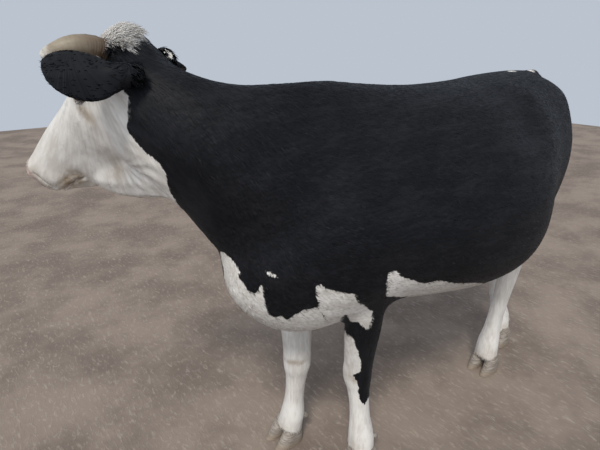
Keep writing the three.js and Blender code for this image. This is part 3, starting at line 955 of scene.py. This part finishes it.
def ear_share(points):
    """1 on the ears' blades and 0 on the head, how far out from the middle of the blade, as a
    share of its breadth, and how far to the hollow side of it."""
    local = in_head(points)
    found = np.zeros((4, len(points)))
    for spec in EARS.values():
        root = np.array(spec["root"], float)
        line = np.array(spec["tip"], float) - root
        run = (local - root) @ line / (line @ line)
        off = local - root - run[:, None] * line
        face = np.array(spec["hollow"], float)
        face = unit(face - unit(line) * (face @ unit(line)))
        breadth = np.interp(run, *np.array(EAR_BREADTH).T)
        aside = np.abs(off @ np.cross(unit(line), face)) / breadth
        lift = off @ face - EAR_CUP * step(0.05, 0.3, run) * aside**2
        here = step(0.05, 0.16, run) * step(1.2, 1.1, run) * step(1.5, 1.25, aside)
        here = here * step(34, 26, np.abs(lift))
        found = np.where(here > found[0], np.stack([here, run, aside, lift]), found)
    return found


def ear_hollow(points):
    """Inside the cup of an ear, away from its dark edge."""
    share, run, aside, lift = ear_share(points)
    length = step(0.18, 0.28, run) * step(0.9, 0.84, run)
    return share * length * step(0.95, 0.86, aside) * step(-1.0, 1.0, lift)


def black_with_ears(points):
    """As black_of, with the ears' pale insides and the hair at the right one's opening."""
    on_ear = ear_share(points)[0] > 0.3
    black = np.where(on_ear, 40 - 50 * ear_hollow(points), black_of(points))
    return black - 130 * near(in_head(points), *EAR_OPENING)


def paint(mesh):
    """The values that the materials read, on every point."""
    points = to_cow(points_of(mesh))
    black = black_with_ears(points)
    local = in_head(points)
    sides = folded(local)
    # Painted shade: the nostrils and the rims of the eye openings are made bare and dark.
    hole_shade = near(sides, (-449, 42, -53), (13, 12, 12)) + near(sides, EYE["at"] + [0, 16, 0], (19, 8, 12))
    set_values(mesh, "black", black)
    set_values(mesh, "bare", np.maximum(bare_of(points), np.clip(1.4 * hole_shade, 0, 1)))
    set_values(mesh, "hole_shade", np.clip(1.6 * hole_shade, 0, 1))
    set_values(mesh, "stain_and_shade", stain_and_shade_of(points))
    set_values(mesh, "limb", limb_share(points))
    set_values(mesh, "shade", np.zeros(len(points)))
    for key, values in strand_of(points).items():
        set_values(mesh, key, values)


def make_skin(material):
    mesh = skin_shape()
    refine(mesh, face_parts, 6)
    refine(mesh, fine_parts, 3)
    shape_head(mesh)
    skin = with_ears(mesh)
    paint(skin.data)
    skin.data.materials.clear()
    skin.data.materials.append(material)
    skin.data.polygons.foreach_set("use_smooth", np.ones(len(skin.data.polygons), bool))
    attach(skin, "root")
    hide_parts(*FLESH, *(f"ear_{side}" for side in SIDES))
    return skin


# ---- Eyes, horns, hooves ----


def make_eye(side, material):
    hand = SIDES[side]
    out, run, up = eye_frame(hand)
    rings, around, radius = 48, 64, EYE["radius"] - 0.4
    polar = np.linspace(0, math.pi, rings + 1)[1:-1]
    turn = np.arange(around) * 2 * math.pi / around
    wide = np.sin(polar)[:, None]
    deep = np.cos(polar)[:, None] * np.ones(around)
    rays = np.stack([wide * np.cos(turn), wide * np.sin(turn), deep], -1)
    rays = np.concatenate([rays.reshape(-1, 3), [[0, 0, 1], [0, 0, -1]]])
    cornea = 1.1 * step(0.72, 0.95, rays[:, 2])
    shape = rays * (radius + cornea)[:, None]
    local = EYE["at"] * [1, hand, 1] + shape @ np.array([run, up * hand, out])
    faces = capped_tube(rings - 1, around)
    if hand > 0:
        faces = [f[::-1] for f in faces]
    ball = mesh_object(f"eyeball_{side}", to_frame(on_head(local)), by_corners(faces), material)
    tilt = np.arccos(np.clip(rays[:, 2], -1, 1))
    set_values(ball.data, "iris", tilt)
    set_values(ball.data, "pupil", np.hypot(rays[:, 0] / 0.5, rays[:, 1] / 0.24) + 9 * (rays[:, 2] < 0))
    finish_piece(ball, "eye", f"eye_{side}")


def finish_piece(made, slot, *nodes):
    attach(made, "root")
    if nodes:
        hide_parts(*nodes)


# x, y, z and radius along each horn, in the head's frame.
HORNS = {
    "left": [
        (-4, -40, -17, 26), (2, -62, 0, 25.5), (1, -82, 17, 24), (-10, -107, 35, 21.5),
        (-33, -124, 49, 16.5), (-54, -128, 58, 11), (-64, -119, 63, 3),
    ],
    "right": [
        (2, 44, -17, 26), (0, 72, -11, 25.5), (-17, 100, -7, 24), (-41, 126, 2, 21.5),
        (-66, 144, 13, 16.5), (-88, 152, 23, 11), (-108, 152, 30, 3),
    ],
}


def make_horn(side, material):
    rings, sides = 72, 40

    def growth(t, angle):
        ring = 0.5 * math.sin(58 * t) + 0.35 * math.sin(131 * t + 1)
        flutes = 0.35 * np.sin(5 * angle + 4 * t) + 0.2 * np.sin(11 * angle - 9 * t)
        return (ring * max(0.0, 1 - 1.5 * t) + flutes * (1 - t)) * np.ones(len(angle))

    points, faces = taper(HORNS[side], sides, rings, (1, 0, 0.3), growth)
    made = mesh_object(f"horn_sheath_{side}", to_frame(on_head(points)), by_corners(faces), material)
    along = np.concatenate([np.repeat(np.linspace(0, 1, rings + 1), sides), [0, 1]])
    set_values(made.data, "along", along)
    finish_piece(made, "horn", f"horn_{side}")


# Down the middle of each leg.
JOINTS = {
    ("fore", "left"): [
        (35, -168, 900), (45, -162, 780), (92, -92, 375), (88, -128, 125), (78, -145, 0)
    ],
    ("fore", "right"): [
        (10, 168, 900), (4, 157, 780), (-34, 90, 375), (-51, 106, 125), (-74, 121, 0)
    ],
    ("hind", "left"): [
        (1050, -150, 1200), (980, -158, 860), (1012, -134, 545), (948, -124, 135), (934, -131, 0)
    ],
    ("hind", "right"): [
        (1050, 150, 1200), (1045, 150, 860), (1205, 92, 545), (1220, -32, 135), (1186, -52, 0)
    ],
}
CLAW = {"half": 27, "toe": 72, "heel": 49, "spread": 32}
DEWCLAW_HEIGHT = 104


def on_limb(joints, z):
    """The middle of a leg at a height."""
    heights = [j[2] for j in joints][::-1]
    return np.array([np.interp(z, heights, [j[k] for j in joints][::-1]) for k in (0, 1)])


def outward(side, place):
    """Which way along Y a claw or dewclaw is from the middle of its foot."""
    return SIDES[side] * (1 if place == "outer" else -1)


def make_claw(pair, side, place, material):
    foot = JOINTS[pair, side][-1]
    hand = outward(side, place)
    toe, heel, half, spread = (CLAW[k] for k in ("toe", "heel", "half", "spread"))
    rows = [
        (88, toe - 70, heel - 12, half - 12, half - 10), (66, toe - 52, heel, half - 5, half - 4),
        (40, toe - 34, heel + 4, half - 0.5, half - 2.5), (12, toe - 11, heel + 2, half + 1, half - 2.5),
        (3, toe - 2, heel, half + 1, half - 2.5), (0, toe - 4, heel - 2, half - 1, half - 4),
    ]
    stations = []
    for z, front, back, outer, inner in rows:
        wide = (outer, inner) if hand < 0 else (inner, outer)
        stations.append({
            "at": (foot[0], foot[1] + hand * spread, z), "up": front, "down": back,
            "plus": wide[0], "minus": wide[1], "full_up": 2.2, "full_down": 2.6,
        })

    def growth(t, angle):
        rings = 0.5 * math.sin(34 * t) + 0.25 * math.sin(71 * t + 2)
        return (rings * step(0.97, 0.8, t)) * (0.6 + 0.4 * np.cos(angle) ** 2)

    points, faces = loft(stations, 40, 40, (-1, 0, 0), (0, 0, -1), growth)
    points[:, 2] = np.maximum(points[:, 2], 0)
    tag = f"{pair}_{side}_{place}"
    made = mesh_object(f"hoof_{tag}", to_frame(points), by_corners(faces), material)
    finish_piece(made, "hoof", f"claw_{tag}")


def make_dewclaw(pair, side, place, material):
    x, y = on_limb(JOINTS[pair, side], DEWCLAW_HEIGHT)
    hand = outward(side, place)
    points = [
        (x + 18, y + hand * 20, 112, 10.5), (x + 34, y + hand * 23, 108, 12),
        (x + 48, y + hand * 25.5, 102, 11.5), (x + 61, y + hand * 27, 91, 6),
    ]

    def growth(t, angle):
        return 0.35 * math.sin(40 * t) * np.ones(len(angle))

    shape, faces = taper(points, 20, 20, (0, 1, 0), growth)
    tag = f"{pair}_{side}_{place}"
    made = mesh_object(f"dew_{tag}", to_frame(shape), by_corners(faces), material)
    finish_piece(made, "hoof", f"dewclaw_{tag}")


# ---- Coat ----

TUFTS = 200_000
TUFTS_IN_PIECE = 48_000
PATCH = 0.003  # a tuft's size on the OFBake map
ALL_WHITE = -60.0  # a black value that is white wherever it is


def scatter(mesh, count, density):
    """Even random places on the skin, thinned by a density of place, with their normals."""
    mesh.calc_loop_triangles()
    corners = rows_of(mesh.loop_triangles, "vertices", 3, np.int32)
    points = to_cow(points_of(mesh))
    normals = normals_of(mesh)
    a, b, c = (points[corners[:, k]] for k in range(3))
    area = np.linalg.norm(np.cross(b - a, c - a), axis=1) / 2
    weight = area * density((a + b + c) / 3)
    total = np.cumsum(weight)
    pick = np.searchsorted(total, RNG.random(count) * total[-1])
    pick = np.minimum(pick, len(total) - 1)
    s, t = np.sqrt(RNG.random(count)), RNG.random(count)
    shares = np.stack([1 - s, s * (1 - t), s * t], 1)[:, :, None]
    chosen = corners[pick]
    return (points[chosen] * shares).sum(1), unit((normals[chosen] * shares).sum(1))


def lie_of(points):
    """Which way the hair lies."""
    x, y, z = points.T
    local = in_head(points)
    flow = np.stack([np.ones(len(x)), 0 * y, -0.55 - 0.35 * step(900, 640, z)], 1)
    neck = step(-120, -330, x)
    flow += neck[:, None] * (np.array([0.75, -0.1, -0.95]) - flow)
    leg = step(700, 560, z)
    flow += leg[:, None] * (np.array([0.12, 0, -1.0]) - flow)
    tail = step(1225, 1262, x)
    flow += tail[:, None] * (np.array([0, 0, -1.0]) - flow)
    of_face = unit((local - WHORL) * [1, 0.6, 1] - [0.001, 0, 0]) @ HEAD_AXES.T
    face = step(40, -30, local[:, 0]) * step(-340, -420, x)
    flow += face[:, None] * (of_face - flow)
    share = ear_share(points)[0]
    for spec in EARS.values():
        line = unit(np.array(spec["tip"], float) - np.array(spec["root"], float))
        mine = share * (np.sign(local[:, 1]) == np.sign(spec["tip"][1]))
        flow += mine[:, None] * (line @ HEAD_AXES.T - flow)
    return flow


def white_all_over(made):
    """Turns a piece white, whatever the markings say of its place."""
    values = np.full(len(made.data.vertices), ALL_WHITE, np.float32)
    made.data.attributes["black"].data.foreach_set("value", values)


def unwrap(points):
    """Where a place of the skin is on a flat map: body, head, four legs and tail side by side."""
    x, y, z = points.T
    local = in_head(points)
    turn = np.arctan2(y, z - 900) / (2 * math.pi) + 0.5
    u, v = 0.01 + 0.58 * (x + 530) / 1830, 0.01 + 0.97 * turn
    head = (local[:, 0] < 45) & (x < -380)
    turn = np.arctan2(local[:, 1], local[:, 2] + 110) / (2 * math.pi) + 0.5
    u = np.where(head, 0.62 + 0.37 * (local[:, 0] + 490) / 540, u)
    v = np.where(head, 0.62 + 0.36 * turn, v)
    for k, joints in enumerate(JOINTS.values()):
        middle = np.array([on_limb(joints, h) for h in (100, 560)])
        here = middle[0] + (middle[1] - middle[0]) * ((z - 100) / 460)[:, None]
        gap = points[:, :2] - here
        mine = (z < 590) & (np.linalg.norm(gap, axis=1) < 120)
        turn = np.arctan2(gap[:, 1], gap[:, 0]) / (2 * math.pi) + 0.5
        u = np.where(mine, 0.62 + 0.36 * z / 600, u)
        v = np.where(mine, 0.02 + 0.12 * (k + turn), v)
    tail = (x > 1235) & (z < 1300)
    u = np.where(tail, 0.62 + 0.36 * (z - 380) / 950, u)
    v = np.where(tail, 0.52 + 0.06 * (np.arctan2(y, x - 1285) / (2 * math.pi) + 0.5), v)
    return np.clip(np.stack([u, v], 1), 0.003, 0.994)


def add_map(mesh, corners, spots):
    """Gives each corner its place on the OFBake map."""
    layer = mesh.uv_layers.new(name="OFBake")
    layer.data.foreach_set("uv", spots[corners].astype(np.float32).ravel())


def tuft_values(places):
    black = black_with_ears(places)
    return {
        "black": black, "stain_and_shade": stain_and_shade_of(places), "bare": 0 * black, "hole_shade": 0 * black,
        "limb": limb_share(places), **strand_of(places),
    }


def tuft_piece(name, material, shape, triangles, roots, patch, shade):
    """Joins tufts of one build: shape is tufts by points, in the cow's millimetres."""
    count, each = shape.shape[:2]
    corners = (triangles[None] + each * np.arange(count)[:, None, None]).reshape(-1, 3)
    made = mesh_object(name, to_frame(shape.reshape(-1, 3)), [corners], material)
    spots = (unwrap(roots)[:, None] + PATCH * patch[None]).reshape(-1, 2)
    add_map(made.data, corners.ravel(), spots)
    for key, values in tuft_values(roots).items():
        set_values(made.data, key, np.repeat(values, each))
    set_values(made.data, "shade", np.repeat(shade, each))
    finish_piece(made, "coat")
    return made


def combed(points, normals, waver):
    """Directions along the lie of the hair on the surface, each a little astray."""
    flow = lie_of(points)
    along = unit(flow - normals * (flow * normals).sum(1, keepdims=True))
    across = np.cross(normals, along)
    astray = RNG.normal(0, waver, len(points))[:, None]
    along = unit(along + across * astray)
    return along, np.cross(normals, along)


def short_coat(mesh, material):
    """Small flat locks all over, each a thin closed wedge."""
    def density(p):
        local = in_head(p)
        dense = 1 + 1.6 * step(40, -30, local[:, 0]) * step(-340, -420, p[:, 0])
        dense += 1.0 * step(700, 560, p[:, 2])
        ear, _, aside, _ = ear_share(p)
        middle = (ear > 0.3) * step(1.0, 0.85, aside)
        return dense * (1 - 0.96 * bare_of(p)) * (1 - 0.85 * middle)

    points, normals = scatter(mesh, TUFTS, density)
    local = in_head(points)
    small = np.maximum(
        step(40, -60, local[:, 0]) * step(-340, -420, points[:, 0]), step(640, 480, points[:, 2])
    )
    small = np.maximum(small, 1.3 * (ear_share(points)[0] > 0.3))
    length = (17 - 8 * small) * RNG.uniform(0.7, 1.3, TUFTS)
    width = (2.6 - 1.2 * small) * RNG.uniform(0.7, 1.3, TUFTS)
    lift = (1.3 - 0.6 * small) * RNG.uniform(0.5, 1.4, TUFTS)
    along, across = combed(points, normals, 0.12)
    root = points - normals * 0.8
    thick = 0.45 - 0.2 * small
    shape = np.stack([
        root - across * (width / 2)[:, None],
        root + across * (width / 2)[:, None],
        root + normals * (0.8 + thick)[:, None] + along * (0.2 * length)[:, None],
        root + along * length[:, None] + normals * lift[:, None],
    ], 1)
    triangles = np.array([[0, 3, 1], [0, 2, 3], [1, 3, 2], [0, 1, 2]])
    triangles = triangles[:, ::-1]
    patch = np.array([[-0.5, -0.5], [0.5, -0.5], [0.0, 0.0], [0.0, 0.5]])
    shade = RNG.uniform(-1, 1, TUFTS)
    for k in range(math.ceil(TUFTS / TUFTS_IN_PIECE)):
        part = slice(k * TUFTS_IN_PIECE, (k + 1) * TUFTS_IN_PIECE)
        name = f"coat_short_{k + 1}"
        made = tuft_piece(name, material, shape[part], triangles, points[part], patch, shade[part])
        tilt = normals[part] + 0.22 * RNG.normal(0, 1, (len(shape[part]), 3))
        made.data.normals_split_custom_set_from_vertices(np.repeat(unit(tilt), 4, 0))


LOCK_STEPS = 4


def lock_shapes(points, along, normals, length, width, bend, curl):
    """Long locks: closed three-sided tapers that lean, then curl or hang."""
    side = unit(np.cross(normals, along))
    t = np.linspace(0, 1, LOCK_STEPS + 1)
    path = [points - normals * 1.5]
    direction = unit(along + normals * bend[0])
    for k in range(LOCK_STEPS):
        share = (k + 1) / LOCK_STEPS
        swing = np.sin(curl[:, 1] + share * curl[:, 2])[:, None] * side * curl[:, :1]
        direction = unit(direction - normals * bend[1] + swing + np.array([0, 0, -bend[2]]))
        path.append(path[-1] + direction * (length / LOCK_STEPS)[:, None])
    rows = []
    for k in range(LOCK_STEPS):
        onward = unit(path[k + 1] - path[k])
        wide = unit(np.cross(onward, normals) + 1e-6 * side)
        tall = np.cross(wide, onward)
        size = (width * (1 - 0.55 * t[k] ** 1.5) / 2)[:, None]
        rows += [path[k] - wide * size, path[k] + wide * size, path[k] + tall * size * 0.9]
    rows.append(path[-1])
    shape = np.stack(rows, 1)
    triangles = [[0, 2, 1]]
    for k in range(LOCK_STEPS - 1):
        low, top = 3 * k, 3 * (k + 1)
        for i, j in ((0, 1), (1, 2), (2, 0)):
            triangles += [[low + i, low + j, top + j], [low + i, top + j, top + i]]
    low, tip = 3 * (LOCK_STEPS - 1), 3 * LOCK_STEPS
    triangles += [[low + i, low + j, tip] for i, j in ((0, 1), (1, 2), (2, 0))]
    corners = [(0, 0), (1, 0), (0.5, 0.12)]
    rises = [k / LOCK_STEPS for k in range(LOCK_STEPS)]
    patch = [[u - 0.5, rise - 0.5 + v] for rise in rises for u, v in corners]
    return shape, np.array(triangles), np.array([*patch, [0.0, 0.5]])


def curls(count, strength, turns):
    return np.stack([
        strength * RNG.uniform(0.4, 1.2, count),
        RNG.uniform(0, 2 * math.pi, count),
        turns * RNG.uniform(0.6, 1.4, count),
    ], 1)


def lock_region(name, mesh, material, count, density, length, width, bend, curl, waver):
    points, normals = scatter(mesh, count, density)
    along, _ = combed(points, normals, waver)
    sizes = length * RNG.uniform(0.6, 1.25, count)
    widths = width * RNG.uniform(0.7, 1.3, count)
    shape, triangles, patch = lock_shapes(points, along, normals, sizes, widths, bend, curls(count, *curl))
    shade = RNG.uniform(-1, 1, count)
    tuft_piece(name, material, shape, triangles, points, patch, shade)


def topknot_density(p):
    local = in_head(p)
    sides = folded(local)
    dense = near(sides, (12, 22, 10), (38, 40, 34)) * (p[:, 0] < -380)
    return np.where(dense > 0.22, dense, 0)


def under_density(p):
    """Where longer hair breaks the outline: brisket, throat, belly and behind the legs."""
    x, y, z = p.T
    brisket = near(p, (-250, 0, 690), (110, 90, 90))
    belly = step(150, 300, x) * step(800, 650, x) * step(90, 40, np.abs(y)) * step(680, 600, z)
    dense = brisket + 0.6 * belly * (z > 520)
    return np.where(dense > 0.15, dense, 0)


def coronet_density(p):
    z = p[:, 2]
    return step(110, 80, z) * step(20, 40, z)


def ridge_density(p):
    """The crest of the neck, the withers and the tail head."""
    x, y, z = p.T
    local = in_head(p)
    crest = step(60, 20, np.abs(y)) * step(1330, 1352, z) * (x > -300)
    tail_head = near(p, (1140, 0, 1352), (90, 50, 40))
    neck = step(-380, -300, -np.abs(x + 400)) * step(1380, 1420, z) * (local[:, 0] > 40)
    return 0.35 * crest + tail_head + 0.4 * neck


def tail_density(p):
    x, _, z = p.T
    return step(1262, 1275, x) * step(1000, 760, z)


# x, y, z and radius down the core of the tail's brush.
SWITCH = [
    (1286, -26, 712, 13), (1288, -32, 640, 18), (1291, -38, 560, 22), (1291, -42, 490, 19),
    (1289, -44, 430, 5),
]
SWITCH_LOCKS = 1500


def make_switch(material):
    """The tail's brush: a core and long locks that hang round it."""
    shape, faces = taper(SWITCH, 24, 30, (0, 1, 0))
    core = mesh_object("tail_switch_core", to_frame(shape), by_corners(faces), material)
    values = {"black": ALL_WHITE, "bare": 0, "hole_shade": 0, "stain_and_shade": 0.35, "limb": 1, "shade": -0.4}
    for key, value in values.items():
        set_values(core.data, key, np.full(len(shape), float(value)))
    finish_piece(core, "coat_white", "tail_switch")
    count = SWITCH_LOCKS
    height = RNG.uniform(500, 745, count)
    turn = RNG.uniform(0, 2 * math.pi, count)
    share = (SWITCH[0][2] - height) / (SWITCH[0][2] - SWITCH[-1][2])
    radius = np.interp(share, [-0.15, 0, 0.3, 0.55, 0.8, 1], [12, 13, 18, 22, 19, 5]) * 0.9
    middle = np.stack([np.interp(share, [0, 0.5, 1], [1286, 1291, 1289]),
                       np.interp(share, [0, 0.5, 1], [-26, -38, -44]), height], 1)
    out = np.stack([np.cos(turn), np.sin(turn), 0 * turn], 1)
    roots = middle + out * radius[:, None]
    along = np.tile([0.0, 0, -1], (count, 1))
    length = np.minimum(RNG.uniform(70, 130, count), height - 418)
    shape, triangles, patch = lock_shapes(
        roots, along, out, length, RNG.uniform(3, 6, count), (0.25, 0.1, 0.1), curls(count, 0.14, 5)
    )
    shade = RNG.uniform(-1, 0.6, count)
    made = tuft_piece("tail_switch_locks", material, shape, triangles, roots, patch, shade)
    white_all_over(made)


# Of each region: how many locks, where, their length and width, how they lean and bend and hang,
# how far they swing and how many turns, and how far astray they lie.
LOCKS = {
    "topknot": (6000, topknot_density, 32, 2.0, (0.9, 0.16, 0.04), (0.8, 8), 0.8),
    "ears": (2200, ear_hollow, 12, 1.1, (0.3, 0.03, 0.0), (0.15, 3), 0.25),
    "under": (2200, under_density, 20, 2.0, (0.12, 0.02, 0.08), (0.12, 3), 0.3),
    "coronets": (2400, coronet_density, 20, 2.6, (0.12, 0.0, 0.1), (0.1, 2), 0.3),
    "ridge": (2200, ridge_density, 15, 1.8, (0.14, 0.06, 0.0), (0.12, 3), 0.3),
    "tail": (1200, tail_density, 26, 2.4, (0.12, 0.0, 0.1), (0.1, 2), 0.3),
}


def make_coat(skin, material):
    mesh = skin.data
    short_coat(mesh, material)
    for name, (count, density, *look) in LOCKS.items():
        lock_region(f"coat_{name}", mesh, material, count, density, *look)
    make_switch(material)


# ---- Ground ----


def make_ground():
    """A plain dry floor, only there to stand on."""
    s = Shader("ground")
    patches = s.noise(2.2, 5, 0.6)
    straw = s.noise(70, 4, 0.7, (1, 0.35, 1), 0.6)
    colour = s.mix(s.span(patches, 0.35, 0.65), (0.17, 0.132, 0.108, 1), (0.27, 0.215, 0.175, 1))
    colour = s.mix(s.span(straw, 0.5, 0.72, 0, 0.55), colour, (0.42, 0.36, 0.30, 1))
    s.set(Base_Color=colour, Roughness=0.95, Normal=s.bump(straw, 0.006, 0.6))
    half = 9.0
    corners = np.array([(-half, -half, 0), (half, -half, 0), (half, half, 0), (-half, half, 0)])
    floor = mesh_object("floor", corners, [np.array([[0, 1, 2, 3]])], s.material)


def main():
    add_camera()
    add_surroundings()
    make_ground()
    skin = make_skin(coat_material("coat_on_skin", False))
    horn, hoof, eye = horn_material(), hoof_material(), eye_material()
    for side in SIDES:
        make_eye(side, eye)
        make_horn(side, horn)
    for pair, side in FEET:
        for place in ("outer", "inner"):
            make_claw(pair, side, place, hoof)
            make_dewclaw(pair, side, place, hoof)
    make_coat(skin, coat_material("coat_tufts", True))


main()
